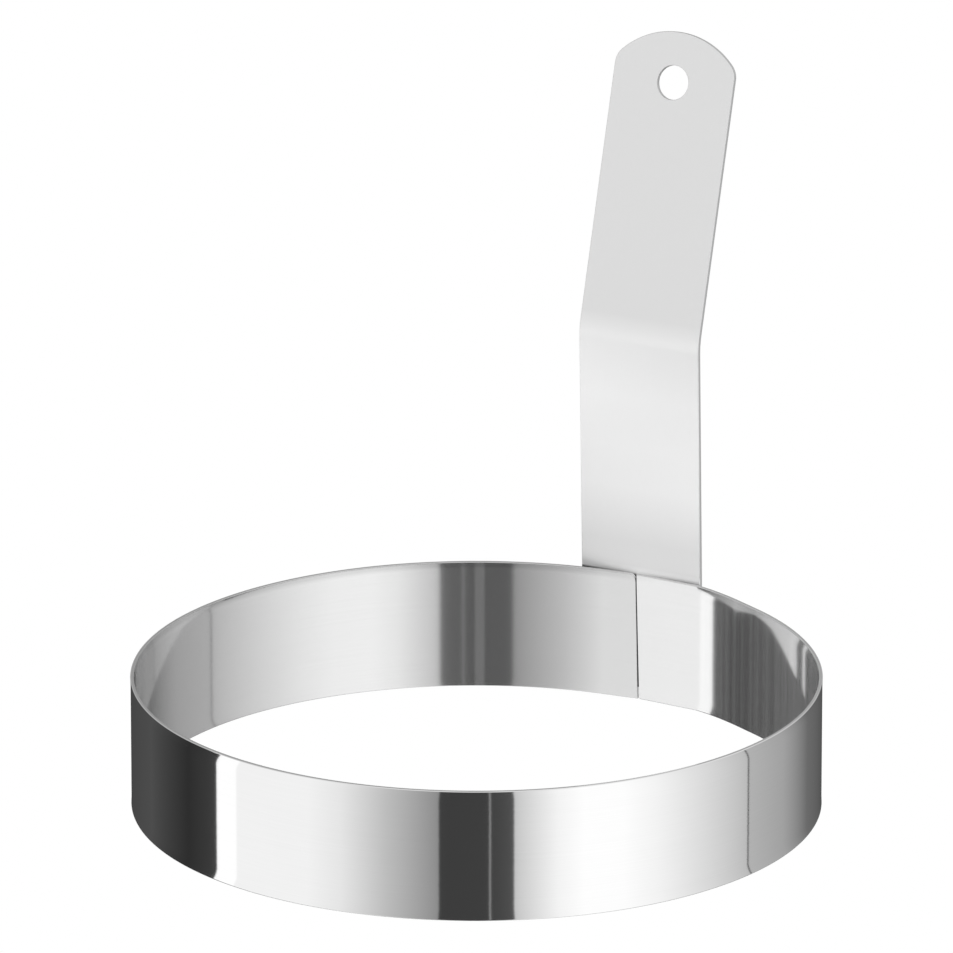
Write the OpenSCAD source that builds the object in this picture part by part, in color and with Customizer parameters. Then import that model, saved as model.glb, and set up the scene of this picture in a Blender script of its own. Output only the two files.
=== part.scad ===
// Egg ring with handle: a rolled sheet band, a bent strip handle and the spot welds between them.
// Origin at the ring's centre on its base plane, +Z up, handle on the +Y side.

/* [Ring] */
// Inside diameter of the ring
ring_inner_d = 127; // [100:1:160]
// Height of the band
ring_h = 25; // [20:1:40]
// Thickness of the band's sheet
ring_t = 0.7; // [0.5:0.1:1.2]

/* [Joint of the band] */
// Width of the flat at the joint, measured between its corners on the outside
land_w = 15; // [13:0.5:20]
// How far the flat stands out of the round
land_rise = 0.5; // [0.2:0.1:1]
// Inside radius of the two soft corners of the flat
land_corner_r = 14; // [6:1:16]
// Gap between the ends at the top rim
seam_gap_top = 0.2; // [0.1:0.05:0.4]
// Gap between the ends at the bottom rim
seam_gap_base = 0.35; // [0.1:0.05:0.5]
// Slant of the joint, in degrees
seam_slant = 1.4; // [0:0.2:2]
// Radius of the clipped top corner on the left end
seam_corner_r = 1.2; // [0.4:0.2:1.6]

/* [Handle] */
// Width of the strip
handle_w = 25.4; // [18:0.2:32]
// Thickness of the strip
handle_t = 1; // [0.8:0.1:1.6]
// Height of the foot's lower edge over the base
foot_rise = 2; // [1:0.5:4]
// Radius of the foot's lower corners
foot_corner_r = 2; // [0.5:0.5:5]
// Length of the stem, from the ring's top rim to the corner of the bend
stem_l = 47.7; // [30:0.1:70]
// Lean of the stem over the ring, in degrees
stem_lean = 1.6; // [0.4:0.2:4]
// Inside radius of the slight bend over the rim
stem_bend_r = 20; // [10:1:40]
// Length of the grip, from the corner of the bend to its end
grip_l = 57.8; // [40:0.2:90]
// Lean of the grip away from the ring, in degrees
grip_lean = 16; // [5:0.5:30]
// Inside radius of the bend between stem and grip
grip_bend_r = 12; // [4:1:20]
// Radius of the grip's round end
end_r = 16.5; // [16:0.1:24]
// Radius of the corners beside the round end
end_corner_r = 3.7; // [1:0.1:5]

/* [Hang hole] */
// Diameter of the hang hole
hole_d = 6.5; // [4:0.5:10]
// Distance of the hang hole's centre from the end of the grip
hole_from_end = 9.6; // [8:0.2:16]

/* [Spot welds] */
// Diameter of a weld nugget
nugget_d = 3.6; // [3:0.2:4]
// Distance between the two columns of nuggets, one on each side of the joint
nugget_pitch_x = 7; // [6.6:0.2:7.4]
// Distance between the rows of nuggets
nugget_pitch_z = 11; // [8:0.5:12]
// How deep a nugget reaches into each sheet, as a share of the sheet's thickness
nugget_bite = 0.55; // [0.3:0.05:0.6]
// Diameter of the dent that the electrode leaves on the foot's back
dent_d = 5; // [4:0.2:6]
// Depth of that dent
dent_depth = 0.12; // [0.05:0.01:0.2]

/* [Hidden] */
$fn = 128;
outer_r = ring_inner_d / 2 + ring_t;
// The flat's outer face, and the angle by which each of its corners turns to reach the round
land_y = outer_r + land_rise;
land_turn = atan(land_w / 2 / land_y) + acos(outer_r / norm([land_w / 2, land_y]));
corner_outer_r = land_corner_r + ring_t;
corner_centre = [land_w / 2 - corner_outer_r * tan(land_turn / 2), land_y - corner_outer_r];
// The straight stretch beside a corner ends this far inside the round that it runs into
bury = 0.002;
seam_shift = ring_h * tan(seam_slant);
// The stem leaves the flat just over the top rim, by a slight bend, and the grip leaves the stem by another
rim_clearance = 0.1;
foot_l = ring_h + rim_clearance - foot_rise;
stem_reach = stem_bend_r * tan(stem_lean / 2);
grip_turn = grip_lean + stem_lean;
grip_reach = (grip_bend_r + handle_t) * tan(grip_turn / 2);
stem_straight = stem_l - rim_clearance - 2 * stem_reach - grip_reach;
grip_straight = grip_l - grip_reach;
stem_bend_centre = [-stem_bend_r, foot_l];
grip_bend_centre = stem_bend_centre
    + (stem_bend_r + grip_bend_r + handle_t) * [cos(stem_lean), sin(stem_lean)]
    + stem_straight * [-sin(stem_lean), cos(stem_lean)];
// Start of the grip's straight stretch, on the face towards the ring
grip_start = grip_bend_centre - (grip_bend_r + handle_t) * [cos(grip_lean), -sin(grip_lean)];
// Centre of a corner beside the round end, and the point where that corner meets the end's arc
corner_x = handle_w / 2 - end_corner_r;
corner_z = sqrt(pow(end_r - end_corner_r, 2) - pow(corner_x, 2));
side_x = corner_x * end_r / (end_r - end_corner_r);
side_z = corner_z * end_r / (end_r - end_corner_r);
// A cutter passes this far through the faces that it opens
over = 1;
// Row heights and column places of the nuggets, centred on the height that foot and band share
weld_z = (foot_rise + ring_h) / 2;
weld_places = [for (sx = [-1, 1], sz = [-1, 1]) [sx * nugget_pitch_x / 2, weld_z + sz * nugget_pitch_z / 2]];
dent_sphere_r = (pow(dent_d / 2, 2) + pow(dent_depth, 2)) / (2 * dent_depth);

// Points of an arc, one for each 2 degrees or less
function arc(centre, r, from, to) =
    let (steps = ceil(abs(to - from) / 2))
    [for (i = [0:steps]) let (a = from + (to - from) * i / steps) centre + r * [cos(a), sin(a)]];

function mirrored(points) = [for (i = [len(points) - 1:-1:0]) [-points[i][0], points[i][1]]];

// Plan of all that lies inside the band's outer face, or with inset = ring_t inside its inner face
module plan(inset) {
    r = outer_r - inset;
    right = concat(
        [(r - bury) * [sin(land_turn), cos(land_turn)]],
        arc(corner_centre, corner_outer_r - inset, 90 - land_turn, 90)
    );
    circle(r);
    polygon(concat(right, mirrored(right), [[0, 0]]));
}

// The narrow wedge between the band's ends, drawn in the plane of the flat, and the clipped top corner
module seam_outline() {
    polygon([
        [-seam_gap_base / 2, -over],
        [seam_gap_base / 2, -over],
        [seam_gap_base / 2, 0],
        [seam_gap_top / 2 - seam_shift, ring_h],
        [seam_gap_top / 2 - seam_shift, ring_h + over],
        [-seam_gap_top / 2 - seam_shift, ring_h + over],
        [-seam_gap_top / 2 - seam_shift, ring_h],
        [-seam_gap_base / 2, 0]
    ]);
    translate([-seam_gap_top / 2 - seam_shift - seam_corner_r, ring_h - seam_corner_r]) difference() {
        square([seam_corner_r + seam_gap_top / 2, seam_corner_r + over]);
        circle(seam_corner_r);
    }
}

module nuggets() {
    for (p = weld_places)
        translate([p[0], land_y - nugget_bite * ring_t, p[1]])
            rotate([-90, 0, 0])
                cylinder(h = nugget_bite * (ring_t + handle_t), d = nugget_d);
}

module ring_band() {
    color([0.80, 0.81, 0.82]) difference() {
        linear_extrude(ring_h) difference() {
            plan(0);
            plan(ring_t);
        }
        translate([0, land_y + over, 0]) rotate([90, 0, 0]) linear_extrude(ring_t + 2 * over) seam_outline();
        nuggets();
    }
}

// One face of the strip seen from the side, from the foot up: inset 0 is the face towards the ring
function strip_face(inset) = concat(
    [[inset, 0]],
    arc(stem_bend_centre, stem_bend_r + inset, 0, stem_lean),
    arc(grip_bend_centre, grip_bend_r + handle_t - inset, 180 + stem_lean, 180 - grip_lean),
    [grip_start + inset * [cos(grip_lean), -sin(grip_lean)] + grip_straight * [sin(grip_lean), cos(grip_lean)]]
);

function backwards(points) = [for (i = [len(points) - 1:-1:0]) points[i]];

// Outline of the grip's round end, in the plane of the strip, from the centre of the end's arc
module end_outline() {
    intersection() {
        circle(end_r);
        polygon([[-side_x, side_z], [-corner_x, corner_z], [corner_x, corner_z], [side_x, side_z],
            [side_x, end_r + over], [-side_x, end_r + over]]);
    }
    for (x = [-corner_x, corner_x]) translate([x, corner_z]) circle(end_corner_r);
}

// What the grip loses around that outline and at the hang hole, from the start of its straight stretch
module grip_cuts() {
    translate([0, handle_t + over, grip_straight - end_r]) rotate([90, 0, 0])
        linear_extrude(handle_t + 2 * over) difference() {
            translate([-handle_w / 2 - over, corner_z]) square([handle_w + 2 * over, end_r - corner_z + over]);
            end_outline();
        }
    translate([0, -over, grip_straight - hole_from_end]) rotate([-90, 0, 0])
        cylinder(h = handle_t + 2 * over, d = hole_d);
}

// What the foot loses at its two lower corners
module foot_corners() {
    for (side = [0, 1]) mirror([side, 0, 0])
        translate([handle_w / 2 - foot_corner_r, handle_t + over, foot_corner_r])
            rotate([90, 0, 0]) linear_extrude(handle_t + 2 * over) difference() {
                translate([0, -foot_corner_r - over]) square(foot_corner_r + over);
                circle(foot_corner_r);
            }
}

module electrode_dents() {
    for (p = weld_places)
        translate([p[0], land_y + handle_t - dent_depth + dent_sphere_r, p[1]]) sphere(dent_sphere_r);
}

module handle() {
    color([0.86, 0.86, 0.86]) difference() {
        translate([0, land_y, foot_rise]) difference() {
            rotate([90, 0, 90]) linear_extrude(handle_w, center = true)
                polygon(concat(strip_face(0), backwards(strip_face(handle_t))));
            foot_corners();
            translate([0, grip_start[0], grip_start[1]]) rotate([-grip_lean, 0, 0]) grip_cuts();
        }
        nuggets();
        electrode_dents();
    }
}

module spot_welds() {
    color([0.62, 0.62, 0.63]) nuggets();
}

ring_band();
handle();
spot_welds();
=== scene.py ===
import math

import bpy
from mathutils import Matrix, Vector


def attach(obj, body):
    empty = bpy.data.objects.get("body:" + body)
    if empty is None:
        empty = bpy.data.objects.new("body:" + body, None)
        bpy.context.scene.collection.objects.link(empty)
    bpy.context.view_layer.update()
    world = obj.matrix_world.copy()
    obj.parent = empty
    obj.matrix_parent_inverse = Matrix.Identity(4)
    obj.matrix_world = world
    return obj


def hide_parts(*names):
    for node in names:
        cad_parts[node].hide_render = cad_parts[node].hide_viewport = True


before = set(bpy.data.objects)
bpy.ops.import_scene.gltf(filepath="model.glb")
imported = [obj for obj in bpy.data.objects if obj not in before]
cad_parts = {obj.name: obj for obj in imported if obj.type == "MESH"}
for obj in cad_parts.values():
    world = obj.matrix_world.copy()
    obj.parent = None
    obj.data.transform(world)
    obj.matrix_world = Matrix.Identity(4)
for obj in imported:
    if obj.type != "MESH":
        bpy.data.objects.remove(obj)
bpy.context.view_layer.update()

MM = 0.001

# The band, as in the construction, where a flat over the joint stands out of the round and carries the
# foot. Only the joint's gap at the base and its clipped corner are larger here, as in the photograph.
RING_H = 25 * MM
RING_T = 0.7 * MM
RING_INNER_D = 127 * MM
OUTER_R = RING_INNER_D / 2 + RING_T
LAND_RISE = 0.5 * MM
LAND_Y = OUTER_R + LAND_RISE
SEAM_GAP_TOP = 0.2 * MM
SEAM_GAP_BASE = 0.42 * MM
SEAM_SLANT = 1.4
SEAM_SHIFT = RING_H * math.tan(math.radians(SEAM_SLANT))
SEAM_CORNER_R = 1.5 * MM
# Each end of the sheet stayed straight when it was rolled: at this distance from the joint, its outer face
# stands this far out of the round, with this slope. The right end reaches further, to a soft corner.
LEFT_END = ((0, 0.43 * MM, -0.115), (7.4 * MM, 0, 0))
RIGHT_END = ((0, 0.43 * MM, -0.044), (12 * MM, 1.02 * MM, 0.143), (13.1 * MM, 1.07 * MM, -0.049),
             (17.1 * MM, 0.81 * MM, -0.083), (24 * MM, 0.24 * MM, -0.083), (29.8 * MM, 0, 0))
# Rolling made the sheet flare at its rims: its slope at the very rim, and how far in the flare reaches
FLARE_SLOPE = 0.07
FLARE_REACH = 2.2 * MM
# The sheet's edges are broken by these radii, at the rims and at the joint's two ends
RIM_EDGE_R = 0.2 * MM
END_EDGE_R = 0.08 * MM
# The slanted ends blend into upright sections at this distance from the joint
SEAM_BLEND = 5 * MM

# The handle, as in the construction. Stem and grip are measured to the corner of the bend between them.
HANDLE_W = 25.4 * MM
HANDLE_T = 1 * MM
FOOT_RISE = 2 * MM
RIM_CLEARANCE = 0.1 * MM
FOOT_L = RING_H + RIM_CLEARANCE - FOOT_RISE
FOOT_CORNER_R = 2 * MM
STEM_L = 47.7 * MM
STEM_LEAN = 1.6
STEM_BEND_R = 20 * MM
GRIP_L = 57.8 * MM
GRIP_LEAN = 16
GRIP_BEND_R = 12 * MM
GRIP_TURN = GRIP_LEAN + STEM_LEAN
STEM_REACH = STEM_BEND_R * math.tan(math.radians(STEM_LEAN / 2))
GRIP_REACH = (GRIP_BEND_R + HANDLE_T) * math.tan(math.radians(GRIP_TURN / 2))
STEM_STRAIGHT = STEM_L - RIM_CLEARANCE - 2 * STEM_REACH - GRIP_REACH
GRIP_STRAIGHT = GRIP_L - GRIP_REACH
END_R = 16.5 * MM
END_CORNER_R = 3.7 * MM
HOLE_R = 3.25 * MM
HOLE_FROM_END = 9.6 * MM
# Lengths along the strip, from the foot's lower edge: where the slight bend over the rim ends, where the
# other bend begins and ends, and where the strip ends
STEM_FROM = FOOT_L + math.radians(STEM_LEAN) * STEM_BEND_R
BEND_FROM = STEM_FROM + STEM_STRAIGHT
BEND_TO = BEND_FROM + math.radians(GRIP_TURN) * (GRIP_BEND_R + HANDLE_T)
STRIP_L = BEND_TO + GRIP_STRAIGHT
# The strip's edges and the hang hole's are broken by these radii
STRIP_EDGE_R = 0.22 * MM
HOLE_EDGE_R = 0.15 * MM
# The electrode's dents on the back of the foot, over the four spot welds
DENT_R = 2.5 * MM
DENT_DEPTH = 0.12 * MM
DENT_X = 3.5 * MM
DENT_Z = (8 * MM, 19 * MM)
# The welds under the dents begin at this Y, inside the band's sheet, and end at this share of the foot's
# thickness
WELD_R = 1.8 * MM
WELD_EDGE_R = 0.1 * MM
WELD_FROM = 63.87 * MM
WELD_BITE = 0.55
WELD_TO = LAND_Y + WELD_BITE * HANDLE_T

# How much light the band sends back, seen straight on: its outer face; the place behind the foot, which
# begins between these Y and carries painted light, so that the stem mirrors it bright; and its inner face,
# from the photograph's left to its right
STEEL_REFLECTS = 0.6
FOOT_PLACE_PAINTED_LIGHT = 0.9
FOOT_PLACE_Y = (OUTER_R - 1.4 * MM, OUTER_R - 0.9 * MM)
INNER_REFLECTS = (0.5, 0.61)
# Under the rim the inner face is darker by this share in a thin line, which fades out towards the right.
# Distances to the right are measured from the ring's middle, as the photograph shows it.
RIM_LINE_DARKER = 0.16
RIM_LINE_Z = (RING_H - 1.5 * MM, RING_H - 0.7 * MM)
RIM_LINE_FADES = (22 * MM, 34 * MM)
# The share of the inner face's light that a thin haze scatters, and what the haze gains at the far right
INNER_HAZE = 0.12
RIGHT_HAZE = 0.05
RIGHT_HAZE_FROM = (49 * MM, 53 * MM)
# What it gains in a dull line up the middle of the back, between these edges
DULL_LINE_HAZE = 0.13
DULL_LINE_FROM = (-0.6 * MM, 0)
DULL_LINE_TO = (1.2 * MM, 1.8 * MM)
# What it loses or gains in upright streaks at the right, and the noise that draws them: its scale per metre
# and the range of its values
STREAK_HAZE = (-0.025, 0.055)
STREAKS_FROM = (42 * MM, 45 * MM)
STREAK_SCALE = 700
STREAK_NOISE = (0.4, 0.62)
# How much light the satin handle sends back, and the share that its haze scatters
HANDLE_REFLECTS = 0.644
SATIN_HAZE = 0.75
# Painted light: how much brighter the front of the strip is painted at these heights, a painted sheen.
# Below the rim it is painted nearly black instead, painted shade between the sheets.
STEM_PAINTED_LIGHT_AND_SHADE = ((24.5 * MM, -0.9), (24.9 * MM, 0.2), (25.3 * MM, 0.2), (26.3 * MM, 0.05), (31 * MM, 0.04),
                 (42 * MM, 0.28), (50 * MM, 0.33), (60 * MM, 0.32), (72 * MM, 0.15), (76 * MM, 0.0))
# The strip's cut sides send back this share of what its faces do
CUT_SIDES = 0.6
# Most of a noise's values lie in this range, over which the steel's tone and roughness vary
NOISE_RANGE = (0.3, 0.7)
ROUGHNESS_VARIES = 0.06

# The photograph's camera; its lens and sensor are in millimetres
CAMERA_AZIMUTH = 28.75
CAMERA_ELEVATION = 20.04
CAMERA_DISTANCE = 2.4364
CAMERA_TARGET = Vector((0, 0, 63.5 * MM))
CAMERA_LENS = 494.5
CAMERA_SENSOR = 36
# The table top reaches this far each way, just under the part
FLOOR_HALF = 6
FLOOR_DROP = 0.05 * MM


def polar(r, degrees):
    """The point at that distance and angle from the origin."""
    return Vector((r * math.cos(math.radians(degrees)), r * math.sin(math.radians(degrees))))


def spread(start, stop, steps):
    """Evenly spaced values from start to stop, both included."""
    return [start + (stop - start) * i / steps for i in range(steps + 1)]


def make_piece(name, points, normals, faces, slot, *nodes):
    """A smooth mesh piece with its exact normals, standing for those CAD nodes. slot is not used."""
    mesh = bpy.data.meshes.new(name)
    mesh.from_pydata(points, [], faces)
    mesh.polygons.foreach_set("use_smooth", [True] * len(mesh.polygons))
    mesh.normals_split_custom_set_from_vertices(normals)
    piece = bpy.data.objects.new(name, mesh)
    bpy.context.scene.collection.objects.link(piece)
    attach(piece, "root")
    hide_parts(*nodes)
    return piece


# The band

def flare(z):
    """How far the sheet stands out of the round at height z, and its slope there."""
    d = min(z, RING_H - z)
    if d >= FLARE_REACH:
        return 0, 0
    left = 1 - d / FLARE_REACH
    slope = math.copysign(FLARE_SLOPE * left ** 1.5, z - RING_H / 2)
    # What it stands out is the integral of that slope
    return FLARE_SLOPE * FLARE_REACH / 2.5 * left ** 2.5, slope


def band_section():
    """The sheet's section, up its outer face and down its inner one, as (out of the round, height, normal
    outwards, normal upwards). The rims are at the construction's radius, and the rest is inside it. The
    heights are closest together where the flare is steepest."""
    near = [FLARE_REACH * share for share in (0.16, 0.25, 0.35, 0.46, 0.6, 0.78, 1)]
    heights = [RIM_EDGE_R] + near + spread(FLARE_REACH, RING_H - FLARE_REACH, 8)[1:-1]
    heights += [RING_H - d for d in reversed(near)] + [RING_H - RIM_EDGE_R]
    rim, e = flare(RIM_EDGE_R)[0], RIM_EDGE_R
    outer = [(flare(z)[0] - rim, z, 1, -flare(z)[1]) for z in heights]
    inner = [(out - RING_T, z, -1, -up) for out, z, _, up in reversed(outer)]
    arc = [polar(1, a) for a in spread(0, 90, 5)[1:]]
    over = [(e * n.x - e, RING_H - e + e * n.y, n.x, n.y) for n in arc]
    over += [(-RING_T - out, z, -c, s) for out, z, c, s in reversed(over)]
    under = [(out, RING_H - z, c, -s) for out, z, c, s in reversed(over)]
    return outer + over + inner + under


def end_rise(knots, distance):
    """Rise and slope of the outer face that far from the joint, on smooth curves through the knots."""
    for (a, rise_a, slope_a), (b, rise_b, slope_b) in zip(knots, knots[1:]):
        if distance <= b:
            span, t = b - a, (distance - a) / (b - a)
            rise = ((1 + 2 * t) * (1 - t) ** 2 * rise_a + t * (1 - t) ** 2 * span * slope_a
                    + t * t * (3 - 2 * t) * rise_b + t * t * (t - 1) * span * slope_b)
            slope = (6 * t * (1 - t) * (rise_b - rise_a) / span
                     + (1 - t) * (1 - 3 * t) * slope_a + t * (3 * t - 2) * slope_b)
            return rise, slope
    return 0, 0


def band_place(side, distance):
    """Point and normal of the outer face, seen from above, that far round from the joint on that side."""
    rise, slope = end_rise(RIGHT_END if side > 0 else LEFT_END, distance)
    angle = side * distance / OUTER_R
    facing = angle - side * math.atan(slope)
    place = Vector((math.sin(angle), math.cos(angle))) * (OUTER_R + rise)
    return place, Vector((math.sin(facing), math.cos(facing)))


def joint_end(side, z):
    """X of one end of the sheet at height z, and the direction that this end faces, in X and Z."""
    up = z / RING_H
    half_gap = (SEAM_GAP_BASE + (SEAM_GAP_TOP - SEAM_GAP_BASE) * up) / 2
    x = side * half_gap - SEAM_SHIFT * up
    rise = z - (RING_H - SEAM_CORNER_R)
    if side > 0 or rise <= 0:
        return x, (-side, 0)
    run = math.sqrt(max(SEAM_CORNER_R ** 2 - rise ** 2, 0))
    return x - SEAM_CORNER_R + run, (run / SEAM_CORNER_R, rise / SEAM_CORNER_R)


def joint_station(side, section, share, turn):
    """A section beside the joint: share 0 at the sheet's end, 1 at the first upright section. turn goes
    round the end's broken edge, from 0 on the faces to 90 on the end itself."""
    points, normals = [], []
    c, s = math.cos(math.radians(turn)), math.sin(math.radians(turn))
    thinner = 1 - 2 * END_EDGE_R * (1 - c) / RING_T
    for out, z, n_out, n_up in section:
        end, face = joint_end(side, z)
        along = side * end * (1 - share) + SEAM_BLEND * share + END_EDGE_R * (1 - s)
        place, n = band_place(side, along)
        point = place + n * ((out + RING_T / 2) * thinner - RING_T / 2)
        points.append((point.x, point.y, z))
        normals.append(Vector((c * n_out * n.x + s * face[0] * n.y, c * n_out * n.y - s * face[0] * n.x,
                               c * n_up + s * face[1])).normalized())
    return points, normals


def round_station(side, section, distance):
    """An upright section of the band."""
    place, n = band_place(side, distance)
    points = [(place.x + out * n.x, place.y + out * n.y, z) for out, z, _, _ in section]
    return points, [Vector((c * n.x, c * n.y, up)).normalized() for _, _, c, up in section]


def band():
    """The rolled sheet with broken edges, from the joint's right end round to its left end. Its sections
    are closest together where the ends leave the round."""
    section = band_section()
    half_round = math.pi * OUTER_R
    stops = [SEAM_BLEND] + [knot[0] for knot in RIGHT_END[1:]] + [half_round]
    right = [SEAM_BLEND]
    for a, b, steps in zip(stops, stops[1:], (14, 8, 16, 14, 12, 310)):
        right += spread(a, b, steps)[1:]
    left = spread(SEAM_BLEND, LEFT_END[1][0], 5) + spread(LEFT_END[1][0], half_round, 350)[1:-1]
    stations = [joint_station(1, section, 0, a) for a in (90, 60, 30, 0)]
    stations += [joint_station(1, section, share, 0) for share in (0.1, 0.25, 0.5, 0.75)]
    stations += [round_station(1, section, distance) for distance in right]
    stations += [round_station(-1, section, distance) for distance in reversed(left)]
    stations += [joint_station(-1, section, share, 0) for share in (0.75, 0.5, 0.25, 0.1)]
    stations += [joint_station(-1, section, 0, a) for a in (0, 30, 60, 90)]
    n = len(section)
    faces = [list(range(n))[::-1]]
    for row in range(len(stations) - 1):
        for i in range(n):
            j = (i + 1) % n
            faces.append([row * n + i, row * n + j, (row + 1) * n + j, (row + 1) * n + i])
    faces.append([(len(stations) - 1) * n + i for i in range(n)])
    points = [p for station in stations for p in station[0]]
    normals = [v for station in stations for v in station[1]]
    return make_piece("ring_sheet", points, normals, faces, "ring_steel", "ring_band")


# The handle

def strip_frame(s):
    """Point (y, z) of the face towards the ring at length s along it, and that face's tangent."""
    y, z, lean = LAND_Y, FOOT_RISE, 0
    # A straight stretch has a length, a bend its radius and angle
    for length, turn_r, turn in ((FOOT_L, 0, 0), (0, STEM_BEND_R, STEM_LEAN), (STEM_STRAIGHT, 0, 0),
                                 (0, -(GRIP_BEND_R + HANDLE_T), -GRIP_TURN)):
        if turn_r:
            length = math.radians(turn) * turn_r
            part = min(max(s / length, 0), 1) * turn
            y += turn_r * (math.cos(math.radians(lean + part)) - math.cos(math.radians(lean)))
            z += turn_r * (math.sin(math.radians(lean + part)) - math.sin(math.radians(lean)))
            lean += part
        else:
            part = min(s, length)
            y, z = y - math.sin(math.radians(lean)) * part, z + math.cos(math.radians(lean)) * part
        s -= length
        if s <= 0:
            return Vector((y, z)), polar(1, 90 + lean)
    return Vector((y, z)) + polar(s, 90 + lean), polar(1, 90 + lean)


def on_strip(x, s, depth):
    """The point x across the strip and s along it, at that depth under the face towards the ring."""
    (y, z), t = strip_frame(s)
    return (x, y + t.y * depth, z - t.x * depth)


def strip_normal(s, across, along, out):
    """A direction with those parts across the strip, along it, and out of the face towards the ring."""
    t = strip_frame(s)[1]
    return Vector((across, along * t.x - out * t.y, along * t.y + out * t.x)).normalized()


def grid_rows():
    """Lengths along the strip at which its faces have a row: fine on the foot and in the bends, and the
    last one 2 mm under the centre of the round end's arc."""
    rows = spread(FOOT_CORNER_R, FOOT_L, 44)
    rows += spread(FOOT_L, STEM_FROM, 4)[1:] + spread(STEM_FROM, BEND_FROM, 12)[1:]
    rows += spread(BEND_FROM, BEND_TO, 18)[1:]
    return rows + spread(BEND_TO, STRIP_L - END_R - 2 * MM, 10)[1:]


def outline(rows):
    """The strip's edge laid flat, anticlockwise seen with X to the right: (x, s, normal in x, in s)."""
    half = HANDLE_W / 2
    centre = STRIP_L - END_R
    corner_x = half - END_CORNER_R
    corner_s = centre + math.sqrt((END_R - END_CORNER_R) ** 2 - corner_x ** 2)
    reach = math.degrees(math.atan2(corner_s - centre, corner_x))
    right = [(half, s, 1, 0) for s in rows]
    for a in spread(0, reach, 8):
        n = polar(1, a)
        right.append((corner_x + END_CORNER_R * n.x, corner_s + END_CORNER_R * n.y, n.x, n.y))
    for a in spread(reach, 90, 24)[1:]:
        n = polar(1, a)
        right.append((END_R * n.x, centre + END_R * n.y, n.x, n.y))
    foot = []
    for a in spread(-90, 0, 8)[:-1]:
        n = polar(1, a)
        foot.append((half - FOOT_CORNER_R + FOOT_CORNER_R * n.x, FOOT_CORNER_R + FOOT_CORNER_R * n.y,
                     n.x, n.y))
    left = [(-x, s, -nx, ns) for x, s, nx, ns in reversed(right[:-1])]
    return foot, right, left + [(-x, s, -nx, ns) for x, s, nx, ns in reversed(foot)]


def edge_steps(e):
    """A rounded edge from the face towards the ring to the other: (inset, depth, share out of the face)."""
    steps = []
    for a in spread(0, 90, 5):
        c, s = math.cos(math.radians(a)), math.sin(math.radians(a))
        steps.append((e - e * s, e - e * c, c))
    return steps + [(i, HANDLE_T - d, -out) for i, d, out in reversed(steps)]


def dent(x, s):
    """How deep the back face lies under its plane at this place, and its slope across and along."""
    for cx in (-DENT_X, DENT_X):
        for cz in DENT_Z:
            dx, ds = x - cx, s + FOOT_RISE - cz
            r = math.hypot(dx, ds) / DENT_R
            if r < 1:
                slope = -4 * DENT_DEPTH * (1 - r * r) / DENT_R ** 2
                return DENT_DEPTH * (1 - r * r) ** 2, slope * dx, slope * ds
    return 0, 0, 0


class Strip:
    """Collects the handle's points, normals and faces."""

    def __init__(self):
        self.points, self.normals, self.faces = [], [], []

    def add(self, point, normal):
        self.points.append(point)
        self.normals.append(normal)
        return len(self.points) - 1

    def wall(self, edge, e):
        """The rounded edge along a closed line of edge points; returns its loops from face to face."""
        loops = []
        for inset, depth, out in edge_steps(e):
            side = math.sqrt(max(1 - out * out, 0))
            loops.append([self.add(on_strip(x - inset * nx, s - inset * ns, depth),
                                   strip_normal(s, side * nx, side * ns, out)) for x, s, nx, ns in edge])
        for a, b in zip(loops, loops[1:]):
            for i in range(len(edge)):
                j = (i + 1) % len(edge)
                self.faces.append([a[i], b[i], b[j], a[j]])
        return loops[0], loops[-1]

    def grid(self, rows, left, right, back):
        """Rows of points over one face, each from a point of its left edge to one of its right edge."""
        columns = spread(-HANDLE_W / 2 + STRIP_EDGE_R, HANDLE_W / 2 - STRIP_EDGE_R, 48)[1:-1]
        lines = []
        for s, first, last in zip(rows, left, right):
            line = [first]
            for x in columns:
                if back:
                    deep, across, along = dent(x, s)
                    line.append(self.add(on_strip(x, s, HANDLE_T - deep),
                                         strip_normal(s, -across, -along, -1)))
                else:
                    line.append(self.add(on_strip(x, s, 0), strip_normal(s, 0, 0, 1)))
            lines.append(line + [last])
        return lines


def handle():
    """The bent strip: two sides of rows and columns, a rounded edge round them and the hang hole's. Three
    larger faces complete each side: one at the foot's lower edge, two round the hole."""
    strip = Strip()
    rows = grid_rows()
    foot, right, left = outline(rows)
    edge = foot + right + left
    hole_s = STRIP_L - HOLE_FROM_END
    hole = [(HOLE_R * n.x, hole_s + HOLE_R * n.y, -n.x, -n.y)
            for n in (polar(1, -a) for a in spread(-90, 270, 64)[:-1])]
    rims, hole_rims = strip.wall(edge, STRIP_EDGE_R), strip.wall(hole, HOLE_EDGE_R)
    # Where the rows' right ends begin and stop in the edge, then the round end's top, then the same for the
    # rows' left ends, which go from the last row to the first
    right_from, right_to = len(foot), len(foot) + len(rows)
    apex = right_from + len(right) - 1
    left_from, left_to = len(edge) - right_to, len(edge) - right_from
    hole_half = len(hole) // 2
    for back, (rim, hole_rim) in enumerate(zip(rims, hole_rims)):
        grid = strip.grid(rows, rim[left_from:left_to][::-1], rim[right_from:right_to], back)
        made = []
        for low, high in zip(grid, grid[1:]):
            made += [[low[i], low[i + 1], high[i + 1], high[i]] for i in range(len(low) - 1)]
        middle = len(grid[-1]) // 2
        made.append(rim[:right_from + 1] + grid[0][::-1][1:] + rim[left_to:])
        made.append(grid[-1][middle:] + rim[right_to:apex + 1] + hole_rim[:hole_half + 1])
        made.append(rim[apex:left_from] + grid[-1][:middle + 1] + hole_rim[hole_half:] + hole_rim[:1])
        strip.faces += [f[::-1] for f in made] if back else made
    return make_piece("handle_strip", strip.points, strip.normals, strip.faces, "handle_steel", "handle")


# The spot welds

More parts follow.
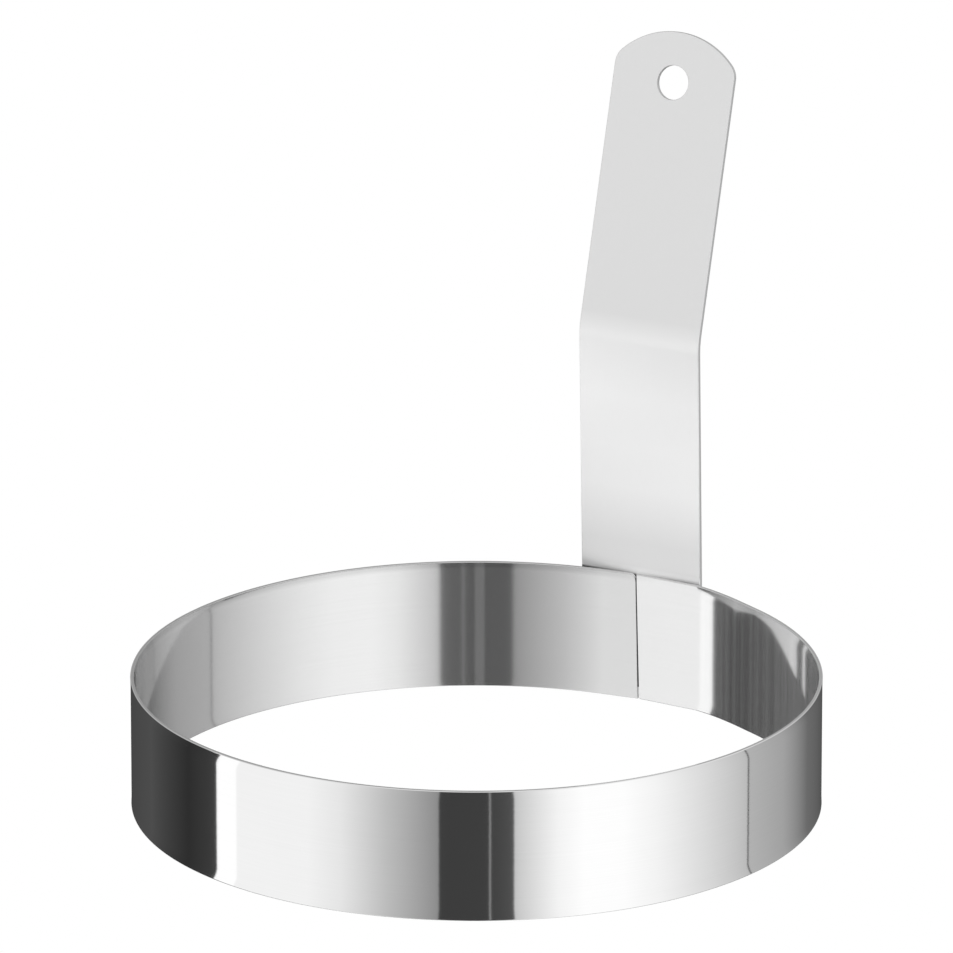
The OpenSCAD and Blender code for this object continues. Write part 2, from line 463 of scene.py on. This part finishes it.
def spot_welds():
    """Four round nuggets. They reach further into the band than the solids do, because the ends of its
    sheet stand off the foot."""
    points, normals, faces = [], [], []
    profile = [(WELD_FROM + WELD_EDGE_R, polar(1, a)) for a in (-90, -45, 0)]
    profile += [(WELD_TO - WELD_EDGE_R, polar(1, a)) for a in (0, 45, 90)]
    for x, z in ((x, z) for x in (-DENT_X, DENT_X) for z in DENT_Z):
        loops = []
        for y, n in profile:
            r = WELD_R - WELD_EDGE_R + WELD_EDGE_R * n.x
            loop = []
            for out in (polar(1, a) for a in spread(0, 360, 32)[:-1]):
                loop.append(len(points))
                points.append((x + r * out.x, y + WELD_EDGE_R * n.y, z + r * out.y))
                normals.append((n.x * out.x, n.y, n.x * out.y))
            loops.append(loop)
        for a, b in zip(loops, loops[1:]):
            faces += [[a[i - 1], b[i - 1], b[i], a[i]] for i in range(len(a))]
        faces += [loops[0], loops[-1][::-1]]
    return make_piece("weld_nuggets", points, normals, faces, "weld_steel", "spot_welds")


# The materials

class Graph:
    """Adds shader nodes in a short form: graph.math("ADD", a, b) takes numbers or sockets."""

    def __init__(self, tree):
        self.nodes, self.links = tree.nodes, tree.links
        self.nodes.clear()

    def feed(self, socket, value):
        """Links a socket to that input, or sets it to a number. None leaves it as it is."""
        if isinstance(value, bpy.types.NodeSocket):
            self.links.new(value, socket)
        elif value is not None:
            socket.default_value = value

    def node(self, kind, inputs=None, **settings):
        node = self.nodes.new(kind)
        for name, value in settings.items():
            setattr(node, name, value)
        for name, value in (inputs or {}).items():
            self.feed(node.inputs[name], value)
        return node

    def math(self, operation, a, b=None, c=None):
        node = self.node("ShaderNodeMath", operation=operation)
        for socket, value in zip(node.inputs, (a, b, c)):
            self.feed(socket, value)
        return node.outputs[0]

    def vector(self, operation, a, b=None, scale=None):
        node = self.node("ShaderNodeVectorMath", operation=operation)
        self.feed(node.inputs[0], a)
        self.feed(node.inputs[1], b)
        if scale is not None:
            self.feed(node.inputs["Scale"], scale)
        return node.outputs["Value" if operation == "DOT_PRODUCT" else "Vector"]

    def noise(self, vector, scale, detail=3.0, rough=0.55):
        return self.node("ShaderNodeTexNoise", {"Vector": vector, "Scale": scale, "Detail": detail,
                                                "Roughness": rough})

    def between(self, value, low, high, out_low, out_high):
        """A value that goes from out_low to out_high as the input goes from low to high, and no further."""
        node = self.node("ShaderNodeMapRange", {"Value": value, "From Min": low, "From Max": high,
                                                "To Min": out_low, "To Max": out_high})
        return node.outputs["Result"]


def steel(name, reflects, unevenness, roughness, grain, wobble, metal=1.0):
    """Stainless steel with fine grain. reflects, roughness and metal are numbers, or functions that add
    them to the graph. unevenness is how much the tone varies with the grain. grain holds the noise scales
    per metre in X, Y and Z, and wobble is how far the grain tips the surface."""
    material = bpy.data.materials.new(name)
    material.use_nodes = True
    g = Graph(material.node_tree)
    reflects, roughness, metal = [v(g) if callable(v) else v for v in (reflects, roughness, metal)]
    place = g.node("ShaderNodeTexCoord").outputs["Object"]
    # The tone mixes the grain's lines with broad faint clouds
    lines = g.noise(g.vector("MULTIPLY", place, grain), 1.0, 4.0, 0.6)
    cloud = g.noise(place, 90.0, 3.0)
    tone = g.math("ADD", g.math("MULTIPLY", lines.outputs[0], 0.7),
                  g.math("MULTIPLY", cloud.outputs[0], 0.3))
    normal = g.node("ShaderNodeNewGeometry").outputs["Normal"]
    tip = g.vector("SUBTRACT", lines.outputs["Color"], (0.5, 0.5, 0.5))
    tipped = g.vector("NORMALIZE", g.vector("ADD", normal, g.vector("SCALE", tip, scale=wobble)))
    shade = g.between(tone, *NOISE_RANGE, 1 - unevenness, 1 + unevenness)
    rougher = g.between(tone, *NOISE_RANGE, 1 - ROUGHNESS_VARIES, 1 + ROUGHNESS_VARIES)
    shader = g.node("ShaderNodeBsdfPrincipled", {
        "Base Color": g.math("MULTIPLY", reflects, shade),
        "Metallic": metal,
        "Roughness": g.math("MULTIPLY", roughness, rougher),
        "Normal": tipped})
    out = g.node("ShaderNodeOutputMaterial")
    g.links.new(shader.outputs[0], out.inputs["Surface"])
    return material


def by_face(g, outer, inner):
    """One value on the band's outer face and another on its inner one."""
    coords = g.node("ShaderNodeTexCoord").outputs
    away = g.vector("DOT_PRODUCT", g.vector("MULTIPLY", coords["Object"], (1, 1, 0)), coords["Normal"])
    share = g.between(away, -1 * MM, 1 * MM, 1.0, 0.0)
    return g.math("ADD", g.math("MULTIPLY", outer, g.math("SUBTRACT", 1.0, share)),
                  g.math("MULTIPLY", inner, share))


def across_band(g):
    """Distance from the ring's middle towards the photograph's right. What follows it marks both halves of
    the band alike, the near one and the far one, whose inner face the photograph shows."""
    direction = (math.cos(math.radians(CAMERA_AZIMUTH)), math.sin(math.radians(CAMERA_AZIMUTH)), 0)
    return g.vector("DOT_PRODUCT", g.node("ShaderNodeTexCoord").outputs["Object"], direction)


def ring_reflects(g):
    """The outer face is even but for the place behind the foot, which is painted brighter, painted light
    that the stem mirrors. The inner one reflects less towards the photograph's left and in a thin line
    under the rim."""
    across = across_band(g)
    coords = g.node("ShaderNodeTexCoord").outputs
    place = g.node("ShaderNodeSeparateXYZ", {"Vector": coords["Object"]}).outputs
    inner = g.between(across, -OUTER_R, OUTER_R, *INNER_REFLECTS)
    line = g.math("MULTIPLY", g.between(place["Z"], *RIM_LINE_Z, 0.0, -RIM_LINE_DARKER),
                  g.between(across, *RIM_LINE_FADES, 1.0, 0.0))
    # Painted light: the place behind the foot is brighter than the rest of the outer face
    outer = g.between(place["Y"], *FOOT_PLACE_Y, STEEL_REFLECTS, FOOT_PLACE_PAINTED_LIGHT)
    return by_face(g, outer, g.math("MULTIPLY_ADD", inner, line, inner))


def ring_metal(g):
    """Clear metal outside; inside it is under a haze, with a dull line in the middle of the back, and with
    upright streaks and more haze at the photograph's right."""
    across = across_band(g)
    place = g.vector("MULTIPLY", g.node("ShaderNodeTexCoord").outputs["Object"],
                     (STREAK_SCALE, STREAK_SCALE, 0))
    drawn = g.between(g.noise(place, 1.0, 4.0).outputs[0], *STREAK_NOISE, *STREAK_HAZE)
    streaks = g.math("MULTIPLY", drawn, g.between(across, *STREAKS_FROM, 0.0, 1.0))
    line = g.math("MULTIPLY", g.between(across, *DULL_LINE_FROM, 0.0, DULL_LINE_HAZE),
                  g.between(across, *DULL_LINE_TO, 1.0, 0.0))
    haze = g.between(across, *RIGHT_HAZE_FROM, INNER_HAZE, INNER_HAZE + RIGHT_HAZE)
    return by_face(g, 1.0, g.math("SUBTRACT", 1.0, g.math("ADD", streaks, g.math("ADD", line, haze))))


def ring_steel():
    """Polished, nearly a mirror, with fine lines that run round the band. The inner face is hazier."""
    return steel("ring_steel", reflects=ring_reflects, unevenness=0.02,
                 roughness=lambda g: by_face(g, outer=0.05, inner=0.09),
                 grain=(40.0, 40.0, 9000.0), wobble=0.006, metal=ring_metal)


def handle_reflects(g):
    """Even, but with painted light on the front of the stem, a painted sheen where the photograph's satin
    hides the ring's image, painted shade on the foot's front, which only the joint's gap shows, and duller
    on the strip's cut sides."""
    coords = g.node("ShaderNodeTexCoord").outputs
    height = g.node("ShaderNodeSeparateXYZ", {"Vector": coords["Object"]}).outputs["Z"]
    faces = g.node("ShaderNodeSeparateXYZ", {"Vector": coords["Normal"]}).outputs
    # Painted light up the front of the stem, and painted shade on the foot's front below the rim
    painted_light_and_shade = STEM_PAINTED_LIGHT_AND_SHADE[0][1]
    for (low, before), (high, after) in zip(STEM_PAINTED_LIGHT_AND_SHADE, STEM_PAINTED_LIGHT_AND_SHADE[1:]):
        painted_light_and_shade = g.math("ADD", painted_light_and_shade, g.between(height, low, high, 0.0, after - before))
    # The front looks towards -Y, and the cut sides look along X
    front = g.between(faces["Y"], -0.7, -0.3, 1.0, 0.0)
    plain = g.between(g.math("ABSOLUTE", faces["Y"]), 0.4, 0.8,
                      CUT_SIDES * HANDLE_REFLECTS, HANDLE_REFLECTS)
    return g.math("MULTIPLY", plain, g.math("MULTIPLY_ADD", painted_light_and_shade, front, 1.0))


def handle_steel():
    """Satin, with a very fine even grain."""
    return steel("handle_steel", reflects=handle_reflects, unevenness=0.006, roughness=0.3,
                 grain=(2600.0, 2600.0, 500.0), wobble=0.01, metal=1 - SATIN_HAZE)


def weld_steel():
    """Dull metal of the nuggets, nearly hidden between the two sheets."""
    return steel("weld_steel", reflects=0.62, unevenness=0.08, roughness=0.5,
                 grain=(1500.0, 1500.0, 1500.0), wobble=0.05)


# The studio

def light(level):
    """Brightness of a surface that the steel shows as this grey level of 255, by the sRGB curve."""
    return ((level / 255 + 0.055) / 1.055) ** 2.4 / STEEL_REFLECTS


# Cards that stand round the table, in the order of their azimuths from the camera's own, towards its right:
# where a card begins, and the grey level that the steel shows there and where the next card begins.
CARDS = (
    ("dark room", -180, 50, 72),
    ("dark room, nearer", -140, 74, 45),
    ("dark room, beside the light", -112, 45, 60),
    ("bright strip light", -96.6, 255, 255),
    ("left diffuser", -87.2, 241, 241),
    ("left diffuser, falling off", -58, 241, 229),
    ("left diffuser, far part", -46, 229, 188),
    ("left diffuser, edge", -30, 188, 140),
    ("camera's stand", -12.4, 60, 62),
    ("slit in the stand", 4.25, 160, 160),
    ("camera's stand, right half", 4.65, 64, 78),
    ("right diffuser, edge", 12.4, 196, 243),
    ("right diffuser, rising", 27, 243, 254),
    ("right diffuser", 36, 254, 253),
    ("right diffuser, falling off", 50, 253, 243),
    ("right diffuser, far part", 62, 243, 186),
    ("gap beside it", 102.4, 70, 70),
    ("grey wall", 103.1, 177, 158),
    ("grey wall, far part", 124, 158, 100),
    ("dark room, right", 145, 100, 50),
)
# The cards' upright edges are soft over this angle, and their upper edge between these two values of a
# direction's upward part
CARD_EDGE = 0.5
CARDS_TOP = (-0.16, -0.02)
# Over the cards the studio is softer: grey levels at azimuths from the camera's own
UPPER_LEVELS = (
    (-180, 150), (-100, 190), (-56, 223), (0, 210), (57, 235), (110, 215), (180, 150),
)


def ramp(g, position, stops):
    """Grey levels over a full turn, each stop an (azimuth, level)."""
    node = g.node("ShaderNodeValToRGB", {"Fac": position})
    elements = node.color_ramp.elements
    while len(elements) < len(stops):
        elements.new(0.5)
    for element, (azimuth, level) in zip(elements, stops):
        v = light(level)
        element.position = (azimuth + 180) / 360
        element.color = (v, v, v, 1)
    return node.outputs["Color"]


def card_row(g, azimuth):
    """Brightness at an azimuth, card by card, with sharp edges between the cards."""
    value = None
    ends = [card[1] for card in CARDS[1:]] + [180]
    for (_, begins, level, last), ends_at in zip(CARDS, ends):
        card = g.between(azimuth, begins, ends_at, light(level), light(last))
        if value is None:
            value = card
            continue
        beyond = g.between(azimuth, begins - CARD_EDGE / 2, begins + CARD_EDGE / 2, 0.0, 1.0)
        value = g.math("ADD", g.math("MULTIPLY", value, g.math("SUBTRACT", 1.0, beyond)),
                       g.math("MULTIPLY", card, beyond))
    return value


def studio():
    """Surroundings that the steel mirrors; the camera itself sees plain white behind the part."""
    world = bpy.data.worlds.new("studio")
    bpy.context.scene.world = world
    world.use_nodes = True
    # The steel finds the cards by its own reflections; a coarse light map of their sharp edges adds nothing
    world.cycles.sampling_method = "NONE"
    g = Graph(world.node_tree)
    towards = g.node("ShaderNodeSeparateXYZ",
                     {"Vector": g.node("ShaderNodeTexCoord").outputs["Generated"]}).outputs
    azimuth = g.math("ARCTAN2", towards["X"], g.math("MULTIPLY", towards["Y"], -1.0))
    turn = g.math("FRACT", g.math("ADD", g.math("DIVIDE", azimuth, 2 * math.pi),
                                  0.5 - CAMERA_AZIMUTH / 360 + 1))
    lower = card_row(g, g.between(turn, 0.0, 1.0, -180.0, 180.0))
    upper = ramp(g, turn, UPPER_LEVELS)
    blend = g.node("ShaderNodeMix", data_type="RGBA")
    g.feed(blend.inputs["Factor"], g.between(towards["Z"], *CARDS_TOP, 0.0, 1.0))
    g.feed(blend.inputs["A"], lower)
    g.feed(blend.inputs["B"], upper)
    around = g.node("ShaderNodeBackground", {"Color": blend.outputs["Result"], "Strength": 1.0})
    plain = g.node("ShaderNodeBackground", {"Color": (1, 1, 1, 1), "Strength": 1.0})
    pick = g.node("ShaderNodeMixShader", {"Fac": g.node("ShaderNodeLightPath").outputs["Is Camera Ray"]})
    g.links.new(around.outputs[0], pick.inputs[1])
    g.links.new(plain.outputs[0], pick.inputs[2])
    out = g.node("ShaderNodeOutputWorld")
    g.links.new(pick.outputs[0], out.inputs["Surface"])


def floor():
    """A white table top, clear from below. The part mirrors the cards that stand round it instead."""
    mesh = bpy.data.meshes.new("floor")
    corners = [(x * FLOOR_HALF, y * FLOOR_HALF, 0) for x, y in ((-1, -1), (1, -1), (1, 1), (-1, 1))]
    mesh.from_pydata(corners, [], [(0, 1, 2, 3)])
    table = bpy.data.objects.new("floor", mesh)
    bpy.context.scene.collection.objects.link(table)
    table.location.z = -FLOOR_DROP
    table.visible_glossy = table.visible_diffuse = table.visible_shadow = False
    material = bpy.data.materials.new("floor_white")
    material.use_nodes = True
    material.cycles.emission_sampling = "NONE"
    g = Graph(material.node_tree)
    glow = g.node("ShaderNodeEmission", {"Color": (1, 1, 1, 1), "Strength": 1.0})
    clear = g.node("ShaderNodeBsdfTransparent")
    pick = g.node("ShaderNodeMixShader", {"Fac": g.node("ShaderNodeNewGeometry").outputs["Backfacing"]})
    g.links.new(glow.outputs[0], pick.inputs[1])
    g.links.new(clear.outputs[0], pick.inputs[2])
    out = g.node("ShaderNodeOutputMaterial")
    g.links.new(pick.outputs[0], out.inputs["Surface"])
    mesh.materials.append(material)


def camera():
    """The photograph's camera: a long lens, from the front right and a little above."""
    data = bpy.data.cameras.new("camera")
    data.sensor_width, data.lens = CAMERA_SENSOR, CAMERA_LENS
    data.clip_start, data.clip_end = 0.1, 50
    cam = bpy.data.objects.new("camera", data)
    bpy.context.scene.collection.objects.link(cam)
    a, e = math.radians(CAMERA_AZIMUTH), math.radians(CAMERA_ELEVATION)
    back = Vector((math.sin(a) * math.cos(e), -math.cos(a) * math.cos(e), math.sin(e)))
    cam.location = back * CAMERA_DISTANCE
    cam.rotation_mode = "QUATERNION"
    cam.rotation_quaternion = (CAMERA_TARGET - cam.location).to_track_quat("-Z", "Y")
    bpy.context.scene.camera = cam


camera()
studio()
floor()
band().data.materials.append(ring_steel())
handle().data.materials.append(handle_steel())
spot_welds().data.materials.append(weld_steel())
bpy.context.scene.view_settings.view_transform = "Standard"
